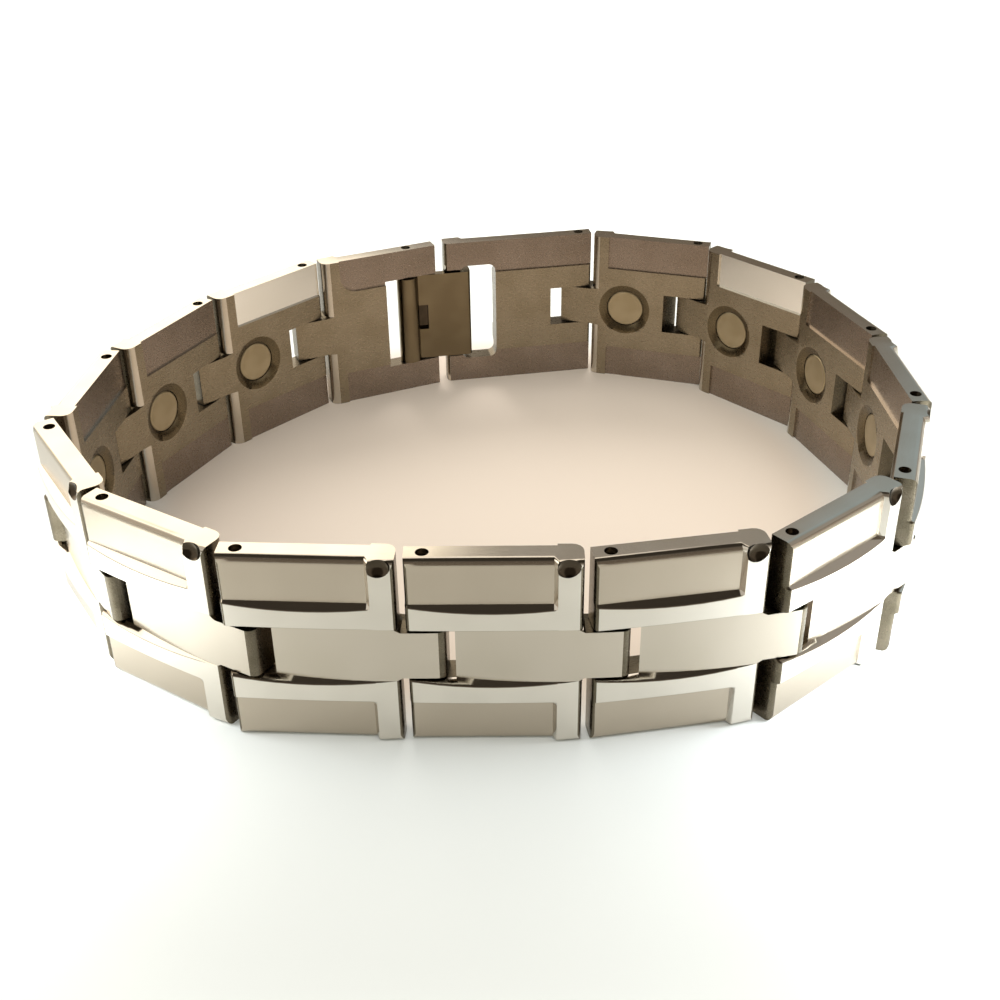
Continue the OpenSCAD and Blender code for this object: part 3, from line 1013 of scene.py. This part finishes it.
    def _sink_pocket(self, piece: bpy.types.Object) -> None:
        """Sinks the magnet's pocket and the sloped rim round it.

        Args:
            piece: the block with its sunk panels.
        """
        deep = self.pocket_depth + self.over
        middle = (self.magnet_x, self.inner_t + self.over - deep / 2, self.mid)
        combine(piece, round_cutter(self.pocket_r, deep, middle, Axis.TO_WRIST))
        # Half of the rim's cone stands out of the wrist side, so the cone is twice as wide and deep
        wide, deep = self.pocket_r + 2 * self.rim_w, 2 * self.rim_depth
        middle = (self.magnet_x, self.inner_t, self.mid)
        combine(piece, round_cutter(wide, deep, middle, Axis.TO_WRIST, tip_r=self.pocket_r))

    def _scoop_middle(self) -> Vector:
        """Gives the middle of the ball that the scoop is cut with."""
        across, out, up = self.scoop_place
        return Vector((self.end_x + across, out, up))

    def _fit_clasp(self, piece: bpy.types.Object) -> None:
        """Cuts the clasp's slot and the lever's bed, where the link has them.

        Args:
            piece: the block with its other cuts.
        """
        wrist = self.inner_t + self.over
        if self.slot:
            from_x, to_x, half = self.slot
            low = (from_x, -self.frame_t - self.over, self.mid - half)
            combine(piece, box_cutter(low, (to_x, wrist, self.mid + half), self.slot_corner_r))
        if self.bed:
            from_x, half, depth = self.bed
            low = (from_x, self.inner_t - depth, self.mid - half)
            combine(piece, box_cutter(low, (self.end_x + self.over, wrist, self.mid + half)))

    def finish_at(self, spot: Vector, normal: Vector) -> Finish:
        """Picks a face's finish by its place and the way that it faces.

        Args:
            spot: the face's middle, in millimetres.
            normal: its outward normal.

        Returns:
            The finish.
        """
        off_middle = abs(spot.z - self.mid)
        from_side = self.mid - off_middle
        at_end = spot.x < -self.pin_back + self.corner_r or spot.x > self.end_x - self.corner_r
        # End faces, which look across the narrow gap at the next link, take the as-cut finish toned dark as
        # painted shade
        if abs(normal.x) > self.corner_turn and at_end and spot.y < self.inner_t - self.nose_r:
            return Finish.CUT
        if normal.y > FACING:
            return self._wrist_finish(spot, normal, off_middle)
        # The scoop's hollow is toned dark as painted shade
        if self.has_scoop and self._in_scoop(spot, normal):
            return Finish.PAINTED_SHADE_HOLLOW
        if self._in_sunk_wall(spot, off_middle):
            return Finish.EDGE
        if from_side < self.edge_r and abs(normal.z) > self.edge_turn:
            return Finish.EDGE
        if normal.y < -FACING:
            return self._outer_finish(spot, off_middle)
        if spot.y < -self.panel_t + SLACK and off_middle > self.tongue_half + NEAR:
            return Finish.POLISHED
        if from_side < self.edge_r and spot.x < self.strip_x:
            return Finish.SATIN
        # Remaining walls in notch, slot, bores and pocket, and the tongue's sides, take the as-cut finish
        # toned dark as painted shade
        return Finish.CUT

    def _wrist_finish(self, spot: Vector, normal: Vector, off_middle: float) -> Finish:
        """Picks the finish of a face that looks at the wrist.

        Args:
            spot: the face's middle.
            normal: its outward normal.
            off_middle: its height above or below the middle.

        Returns:
            The finish.
        """
        if near(spot.y, self.inner_t - self.sunk_depth) and off_middle > self.sunk_in:
            # The upper sunk panel of some links is toned nearly white as a painted highlight
            return Finish.PAINTED_HIGHLIGHT if self.painted_highlight_panel and spot.z > self.mid else Finish.SUNK
        if normal.x > TURNED and self.end_x - self.nose_r < spot.x < self.end_x:
            return Finish.EDGE
        # The magnet's countersunk rim is toned dark as painted shade
        off_magnet = math.hypot(spot.x - self.magnet_x, off_middle)
        in_rim = off_magnet < self.pocket_r + self.rim_w + NEAR and spot.y < self.inner_t - NEAR
        return Finish.RIM if self.has_magnet and in_rim else Finish.WRIST

    def _in_sunk_wall(self, spot: Vector, off_middle: float) -> bool:
        """Tells whether a spot lies in a wall of the sunk wrist panels.

        Args:
            spot: the spot.
            off_middle: its height above or below the middle.

        Returns:
            Whether it does.
        """
        deep_enough = self.inner_t - self.sunk_depth < spot.y < self.inner_t
        along = -self.pin_back + NEAR < spot.x < self.end_x - self.nose_r
        return deep_enough and along and off_middle > self.sunk_in - NEAR

    def _in_scoop(self, spot: Vector, normal: Vector) -> bool:
        """Tells whether a face is part of the scoop."""
        inward = self._scoop_middle() - spot
        return inward.length < self.scoop_r + SLACK and inward.normalized().dot(normal) > STRAIGHT

    def _outer_finish(self, spot: Vector, off_middle: float) -> Finish:
        """Picks the finish of a face that looks away from the wrist.

        Args:
            spot: the face's middle.
            off_middle: its height above or below the middle.

        Returns:
            The finish.
        """
        on_band = off_middle < self.band_half + self.band_spill and spot.x > self.notch_out - self.corner_r
        if on_band or spot.x > self.end_x + NEAR:
            return Finish.BAND
        return Finish.SATIN if spot.y > -self.panel_t - SLACK else Finish.POLISHED


@dataclass
class Turned:
    """A small round piece, turned or pressed to a plain cylinder with worked ends.

    Attributes:
        node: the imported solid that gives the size.
        material: its finish.
        axis: the way that it lies.
        edge_break: width of the broken edge at each end, in millimetres.
        face_inset: width of the flat ring on each end.
        face_dish: how far the middle of each end is pressed in.
        sides: faces round it.
        break_steps: faces across the broken edge.
        dish_slope: width of the slope into the dish, as a share of the flat ring's.
        crease: the sharpest corner that is shaded round, in degrees.
    """

    node: str
    material: bpy.types.Material
    axis: Axis
    edge_break: float
    face_inset: float
    face_dish: float
    sides: int = 64
    break_steps: int = 3
    dish_slope: float = 1 / 3
    crease: float = 40.0

    def build(self, to_own: Matrix) -> bpy.types.Object:
        """Makes the piece in the frame of its link.

        Args:
            to_own: the matrix from the bracelet's frame to the link's.

        Returns:
            The template, to be copied to each place.
        """
        low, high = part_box(self.node)
        middle = to_own @ ((low + high) / 2)
        depth = high.y - low.y if self.axis is Axis.TO_WRIST else high.z - low.z
        radius = (high.x - low.x) / 2
        bpy.ops.object.select_all(action="DESELECT")
        bpy.ops.mesh.primitive_cylinder_add(
            vertices=self.sides, radius=radius, depth=depth, location=middle, rotation=self.axis.value)
        piece = bpy.context.active_object
        piece.name = self.node + "_template"
        bpy.ops.object.transform_apply(location=True, rotation=True, scale=True)
        pick(piece, "FACE", lambda mesh: mesh.polygons, lambda face: len(face.vertices) == self.sides)
        bpy.ops.mesh.bevel(offset=self.edge_break * MM, segments=self.break_steps, affect="EDGES")
        self._dish_ends(piece)
        piece.data.materials.append(self.material)
        smooth(piece, self.crease)
        keep_places(piece)
        return piece

    def _dish_ends(self, piece: bpy.types.Object) -> None:
        """Presses a shallow dish into each end, with a flat ring left round it.

        Args:
            piece: the piece, in edit mode.
        """
        ring = self.face_inset * MM
        for way in (-1, 1):
            facing = Vector((0, way, 0)) if self.axis is Axis.TO_WRIST else Vector((0, 0, way))
            pick(piece, "FACE", lambda mesh: mesh.polygons,
                 lambda face: len(face.vertices) == self.sides and face.normal.dot(facing) > STRAIGHT)
            bpy.ops.mesh.inset(thickness=ring, depth=0)
            bpy.ops.mesh.inset(thickness=ring * self.dish_slope, depth=-self.face_dish * MM)
        bpy.ops.object.mode_set(mode="OBJECT")


@dataclass
class Lever:
    """The clasp's lever: barrel, plate and hook with broken edges.

    Attributes:
        seat: where the slotted end link stands.
        materials: the finishes' materials.
        edge_break: width of its broken edges, in millimetres.
        window_shade_plate: two corners of the plate in painted shade that closes its window, in the slotted
            end link's frame.
        window_rim: height on the wrist side up to which the window's walls are toned dark as painted shade.
        weld: distance within which the solid's loose points are merged.
        flat_within: angle up to which its triangles are one flat face, in degrees.
        break_steps: faces across a broken edge.
        crease: the flattest corner that is broken, and the sharpest that is shaded round, in degrees.
    """

    seat: Seat
    materials: Materials
    edge_break: float = 0.12
    window_shade_plate: tuple[Triple, Triple] = ((15.95, 0.12, 6.3), (17.1, 0.4, 9.2))
    window_rim: float = 0.88
    weld: float = 0.002
    flat_within: float = 0.6
    break_steps: int = 3
    crease: float = 40.0

    def build(self) -> bpy.types.Object:
        """Makes the lever in the bracelet's frame.

        Returns:
            The finished lever.
        """
        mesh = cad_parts["clasp_lever"].data.copy()
        piece = bpy.data.objects.new("clasp_lever_stamping", mesh)
        bpy.context.scene.collection.objects.link(piece)
        mesh.transform(self.seat.to_loop().inverted())
        only(piece)
        bpy.ops.object.mode_set(mode="EDIT")
        bpy.ops.mesh.select_all(action="SELECT")
        bpy.ops.mesh.remove_doubles(threshold=self.weld * MM)
        bpy.ops.mesh.dissolve_limited(angle_limit=math.radians(self.flat_within))
        bpy.ops.object.mode_set(mode="OBJECT")
        # A plate in painted shade closes the window's far side
        low, high = (Vector(corner) * MM for corner in self.window_shade_plate)
        bpy.ops.object.select_all(action="DESELECT")
        bpy.ops.mesh.primitive_cube_add(size=1, location=(low + high) / 2, scale=high - low)
        bpy.ops.object.transform_apply(location=True, rotation=True, scale=True)
        combine(piece, bpy.context.active_object, "UNION")
        breaks = piece.modifiers.new("broken edges", "BEVEL")
        breaks.width = self.edge_break * MM
        breaks.segments = self.break_steps
        breaks.limit_method = "ANGLE"
        breaks.angle_limit = math.radians(self.crease)
        breaks.use_clamp_overlap = True
        bpy.ops.object.modifier_apply(modifier=breaks.name)
        dress_faces(piece, self._finish_at, self.materials)
        smooth(piece, self.crease)
        keep_places(piece)
        piece.data.transform(self.seat.to_loop())
        return piece

    def _finish_at(self, spot: Vector, normal: Vector) -> Finish:
        """Picks the finish of a face.

        Args:
            spot: the face's middle in the frame of the slotted end link, in metres.
            normal: its normal.

        Returns:
            The finish: dark as painted shade inside the window, and stamped elsewhere.
        """
        spot = spot / MM
        low, high = self.window_shade_plate
        inside = low[0] < spot.x < high[0] and low[2] < spot.z < high[2]
        # The window's walls and its closing plate take the hollow finish, toned dark as painted shade
        return Finish.PAINTED_SHADE_HOLLOW if inside and low[1] + NEAR < spot.y < self.window_rim else Finish.LEVER


@dataclass
class Bracelet:
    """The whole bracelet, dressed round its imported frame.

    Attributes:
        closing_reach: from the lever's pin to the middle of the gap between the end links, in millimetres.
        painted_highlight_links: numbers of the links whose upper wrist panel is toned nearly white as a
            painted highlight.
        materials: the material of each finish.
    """

    closing_reach: float = 3.45
    painted_highlight_links: tuple[int, ...] = (1, 13)
    materials: Materials = field(default_factory=dict)

    def build(self) -> None:
        """Makes every piece and hands it over to its body."""
        self.materials = {finish: finish.value.material() for finish in Finish}
        seats = loop_seats(self.closing_reach * MM)
        self._regular_links(seats)
        self._end_links(seats)
        self._pins_and_lever(seats)

    def _regular_links(self, seats: list[Seat]) -> None:
        """Makes the links between the clasp's two, with their magnets.

        Args:
            seats: the place of every link.
        """
        plain = LinkShape("link_template", self.materials).build()
        # A template whose upper wrist panel is toned nearly white as a painted highlight
        bright = LinkShape("bright_link_template", self.materials, painted_highlight_panel=True).build()
        magnet = Turned(
            f"magnet_{MIDDLE_LINK:02d}", self.materials[Finish.MAGNET], Axis.TO_WRIST,
            edge_break=0.12, face_inset=0.25, face_dish=0.03,
        ).build(seats[MIDDLE_LINK].to_loop().inverted())
        for i in range(1, REGULAR_LINKS + 1):
            link = bright if i in self.painted_highlight_links else plain
            body = seated_copy(link, f"link_{i:02d}_steel", seats[i].to_loop())
            hand_over(body, f"link_{i:02d}", "band")
            disc = seated_copy(magnet, f"magnet_{i:02d}_disc", seats[i].to_loop())
            hand_over(disc, f"magnet_{i:02d}", "band")
        for template in (plain, bright, magnet):
            bpy.data.objects.remove(template)

    def _end_links(self, seats: list[Seat]) -> None:
        """Makes the two links that the clasp joins.

        Args:
            seats: the place of every link.
        """
        hinge_end = LinkShape(
            "hinge_end_link_steel", self.materials, notch_half=4.75, notch_out=4.25, notch_in=4.25,
            bores=(1.65, 12.5), has_magnet=False, sunk_corner_r=1.675)
        slot_end = LinkShape(
            "slot_end_link_steel", self.materials, end_x=14.2, notch_out=3.05, bores=(0.0,),
            has_tongue=False, has_magnet=False, has_scoop=False, sunk_to=14.7,
            slot=(8.9, 12.55, 5.2), bed=(12.05, 4.85, 0.92))
        ends = (("hinge_end_link", seats[0], hinge_end), ("slot_end_link", seats[-1], slot_end))
        for node, seat, shape in ends:
            piece = shape.build()
            piece.data.name = piece.name
            piece.data.transform(seat.to_loop())
            hand_over(piece, node, "band")

    def _pins_and_lever(self, seats: list[Seat]) -> None:
        """Makes the hinge pins, the clasp's pin and its lever.

        Args:
            seats: the place of every link.
        """
        far_pin = MIDDLE_LINK + 1
        # The pins' wire is toned dark as painted shade for their ends in the bores
        pins = [
            Turned(node, self.materials[Finish.WIRE], Axis.UPRIGHT, edge_break=0.1, face_inset=0.1,
                   face_dish=0.05, sides=32)
            for node in (f"hinge_pin_{far_pin:02d}", "clasp_pin")]
        pin = pins[0].build(seats[far_pin].to_loop().inverted())
        for i in range(1, REGULAR_LINKS + 2):
            rod = seated_copy(pin, f"hinge_pin_{i:02d}_wire", seats[i].to_loop())
            hand_over(rod, f"hinge_pin_{i:02d}", "band")
        bpy.data.objects.remove(pin)
        clasp_pin = pins[1].build(Matrix.Identity(4))
        clasp_pin.name = "clasp_pin_wire"
        hand_over(clasp_pin, "clasp_pin", "band")
        lever = Lever(seats[-1], self.materials).build()
        hand_over(lever, "clasp_lever", "lever")


def direction_to(azimuth: float, elevation: float) -> Vector:
    """Works out a direction.

    Args:
        azimuth: its angle from +Y towards +X, in degrees.
        elevation: its height above the horizon, in degrees.

    Returns:
        The unit vector.
    """
    turn, height = math.radians(azimuth), math.radians(elevation)
    level = math.cos(height)
    return Vector((math.sin(turn) * level, math.cos(turn) * level, math.sin(height)))


def light_of(hex_colour: str, strength: float) -> Colour:
    """Gives a colour's linear light times a brightness."""
    red, green, blue, _ = linear(hex_colour)
    return red * strength, green * strength, blue * strength, 1.0


@dataclass(frozen=True)
class Card:
    """A soft round patch of light or dark in the surroundings, as a studio's card or flag makes.

    Attributes:
        azimuth: its direction from +Y towards +X, in degrees.
        elevation: its height above the horizon, in degrees.
        inner: angle from its middle up to which it is even, in degrees.
        outer: angle at which it has faded away, in degrees.
        colour: its sRGB colour.
        strength: its brightness.
    """

    azimuth: float
    elevation: float
    inner: float
    outer: float
    colour: str
    strength: float


@dataclass(frozen=True)
class Softlight:
    """A soft even light on the whole floor, as a large diffuser gives.

    Attributes:
        name: its name.
        azimuth: its direction from +Y towards +X, in degrees.
        elevation: its height above the horizon, in degrees.
        spread: how wide it looks from the floor, in degrees.
        strength: its power on each square metre.
        colour: its sRGB colour.
    """

    name: str
    azimuth: float
    elevation: float
    spread: float
    strength: float
    colour: str

    def build(self) -> None:
        """Adds the light, which the polish does not reflect."""
        light = bpy.data.lights.new(self.name, "SUN")
        light.angle = math.radians(self.spread)
        light.energy = self.strength
        light.color = linear(self.colour)[:3]
        lamp = bpy.data.objects.new(self.name, light)
        bpy.context.scene.collection.objects.link(lamp)
        towards = direction_to(self.azimuth, self.elevation)
        lamp.rotation_euler = towards.to_track_quat("Z", "Y").to_euler()
        lamp.visible_glossy = False


@dataclass(frozen=True)
class Softbox:
    """A soft lamp close over the floor, which lights a pool of it.

    Attributes:
        name: its name.
        place: its middle, in millimetres.
        size: its width, in millimetres.
        watts: its power.
        colour: its sRGB colour.
    """

    name: str
    place: Triple
    size: float
    watts: float
    colour: str

    def build(self) -> None:
        """Adds the lamp, facing down, which the polish does not reflect."""
        light = bpy.data.lights.new(self.name, "AREA")
        light.shape = "DISK"
        light.size = self.size * MM
        light.energy = self.watts
        light.color = linear(self.colour)[:3]
        lamp = bpy.data.objects.new(self.name, light)
        bpy.context.scene.collection.objects.link(lamp)
        lamp.location = Vector(self.place) * MM
        lamp.visible_glossy = False


@dataclass
class Studio:
    """Pale floor, soft light, surroundings and the camera at the photograph's angle.

    Attributes:
        floor_size: width of the floor, in millimetres.
        floor_colour: sRGB colour of the floor.
        floor_painted_bounce_and_shade: sRGB colour painted on it inside the bracelet, for warm bounce light
            from the steel and shade from its walls.
        floor_roughness: roughness of the floor's paper.
        warm_middle: middle of that warm patch, in millimetres.
        warm_from: distance from its middle up to which it is warm, in millimetres.
        warm_to: distance at which it is plain again, in millimetres.
        base: sRGB colour of the plain surroundings.
        base_strength: brightness of the plain surroundings.
        cards: patches in the surroundings, each laid over the ones before.
        lights: the studio lights.
        camera_place: where the camera stands, in millimetres.
        camera_pitch: how far it looks down, in degrees.
        camera_yaw: how far it is turned to the left, in degrees.
        camera_roll: how far it is rolled clockwise, in degrees.
        camera_near: nearest distance that it sees, in millimetres.
        lens_mm: its focal length.
        sensor_mm: width of its sensor.
    """

    floor_size: float = 20000.0
    floor_colour: str = "#F3F4EF"
    floor_painted_bounce_and_shade: str = "#E6D6C5"
    floor_roughness: float = 0.9
    warm_middle: Triple = (0.0, 4.0, 0.0)
    warm_from: float = 28.0
    warm_to: float = 35.0
    base: str = "#FFF8EC"
    base_strength: float = 0.9
    cards: tuple[Card, ...] = (
        # A bright window on the left, a greyer wall on the right and a cool patch in it
        Card(azimuth=-46, elevation=32, inner=34, outer=38.5, colour="#FFF4E2", strength=2.6),
        Card(azimuth=52, elevation=32, inner=43, outer=49, colour="#FFF6EA", strength=0.45),
        Card(azimuth=40, elevation=30, inner=17, outer=24, colour="#DFF0F6", strength=0.62),
        # Dim places low behind, behind the camera and overhead, which give the polish its dark lines
        Card(azimuth=9, elevation=13, inner=9, outer=19, colour="#FFE9CF", strength=0.22),
        Card(azimuth=180, elevation=36, inner=33, outer=52, colour="#FFF0DC", strength=0.22),
        Card(azimuth=0, elevation=90, inner=27, outer=46, colour="#FFEBD0", strength=0.05),
        # A lamp high behind, which gives the rounded side edges their bright line
        Card(azimuth=-3, elevation=58, inner=9, outer=15, colour="#FFF6EA", strength=1.7),
    )
    lights: tuple[Softlight | Softbox, ...] = (
        Softlight("top_softlight", 180, 80, 60, 1.3, "#FFFFFC"),
        Softlight("front_softlight", 180, 40, 50, 0.8, "#FAFFFC"),
        Softlight("left_softlight", -78, 38, 60, 0.8, "#FAFFFC"),
        Softlight("back_softlight", -10, 45, 70, 0.85, "#FFF2E2"),
        Softbox("left_softbox", (-42, -27, 16), 14, 0.0095, "#F4FAFF"),
        Softbox("right_softbox", (42, -27, 16), 14, 0.0200, "#EEF6FF"),
        Softbox("back_softbox", (0, 170, 120), 140, 0.35, "#FFFFFF"),
    )
    camera_place: Triple = (2.156, -102.278, 64.738)
    camera_pitch: float = 31.835
    camera_yaw: float = 0.758
    camera_roll: float = 0.808
    camera_near: float = 5.0
    lens_mm: float = 47.92
    sensor_mm: float = 36.0

    def build(self) -> None:
        """Makes the studio."""
        self._floor()
        self._surroundings()
        for light in self.lights:
            light.build()
        self._camera()
        bpy.context.scene.view_settings.view_transform = "Standard"

    def _floor(self) -> None:
        """Lays the pale floor that the bracelet stands on."""
        bpy.ops.object.select_all(action="DESELECT")
        bpy.ops.mesh.primitive_plane_add(size=self.floor_size * MM)
        floor = bpy.context.active_object
        floor.name = "floor"
        paper = bpy.data.materials.new("paper_sheet_matt")
        paper.use_nodes = True
        tree = paper.node_tree
        # Matt paper: plain and pale, with warm bounce light and shade painted inside the ring
        place = add_node(tree, "ShaderNodeTexCoord", {}, {}).outputs["Object"]
        away = add_node(
            tree, "ShaderNodeVectorMath", {"operation": "DISTANCE"},
            {0: place, 1: Vector(self.warm_middle) * MM}).outputs["Value"]
        share = add_node(
            tree, "ShaderNodeMapRange", {"interpolation_type": "SMOOTHSTEP"},
            {"Value": away, "From Min": self.warm_from * MM, "From Max": self.warm_to * MM},
        ).outputs["Result"]
        tint = add_node(
            tree, "ShaderNodeMixRGB", {},
            {"Fac": share, "Color1": linear(self.floor_painted_bounce_and_shade), "Color2": linear(self.floor_colour)})
        shader = tree.nodes["Principled BSDF"]
        tree.links.new(tint.outputs["Color"], shader.inputs["Base Color"])
        shader.inputs["Roughness"].default_value = self.floor_roughness
        floor.data.materials.append(paper)

    def _surroundings(self) -> None:
        """Paints the surroundings by direction, plain with soft patches."""
        world = bpy.data.worlds.new("surroundings")
        world.use_nodes = True
        tree = world.node_tree
        tree.nodes.clear()
        ray = add_node(tree, "ShaderNodeTexCoord", {}, {}).outputs["Generated"]
        colour = light_of(self.base, self.base_strength)
        for card in self.cards:
            towards = add_node(
                tree, "ShaderNodeVectorMath", {"operation": "DOT_PRODUCT"},
                {0: ray, 1: direction_to(card.azimuth, card.elevation)}).outputs["Value"]
            share = add_node(
                tree, "ShaderNodeMapRange", {"interpolation_type": "SMOOTHSTEP"},
                {"Value": towards, "From Min": math.cos(math.radians(card.outer)),
                 "From Max": math.cos(math.radians(card.inner))}).outputs["Result"]
            colour = add_node(
                tree, "ShaderNodeMixRGB", {},
                {"Fac": share, "Color1": colour, "Color2": light_of(card.colour, card.strength)},
            ).outputs["Color"]
        sky = add_node(tree, "ShaderNodeBackground", {}, {"Color": colour})
        add_node(tree, "ShaderNodeOutputWorld", {}, {"Surface": sky.outputs["Background"]})
        world.cycles_visibility.diffuse = False
        bpy.context.scene.world = world

    def _camera(self) -> None:
        """Sets the camera where the photograph was taken from."""
        data = bpy.data.cameras.new("camera")
        data.sensor_fit = "HORIZONTAL"
        data.sensor_width = self.sensor_mm
        data.lens = self.lens_mm
        data.clip_start = self.camera_near * MM
        camera = bpy.data.objects.new("camera", data)
        bpy.context.scene.collection.objects.link(camera)
        yaw = Matrix.Rotation(math.radians(self.camera_yaw), 4, "Z")
        pitch = Matrix.Rotation(math.radians(90 - self.camera_pitch), 4, "X")
        roll = Matrix.Rotation(-math.radians(self.camera_roll), 4, "Z")
        camera.matrix_world = Matrix.Translation(Vector(self.camera_place) * MM) @ yaw @ pitch @ roll
        bpy.context.scene.camera = camera


def main() -> None:
    """Builds the bracelet and its studio."""
    logging.basicConfig(level=logging.INFO, format="%(name)s: %(message)s")
    Bracelet().build()
    Studio().build()
    bpy.context.view_layer.update()


if __name__ == "__main__":
    main()
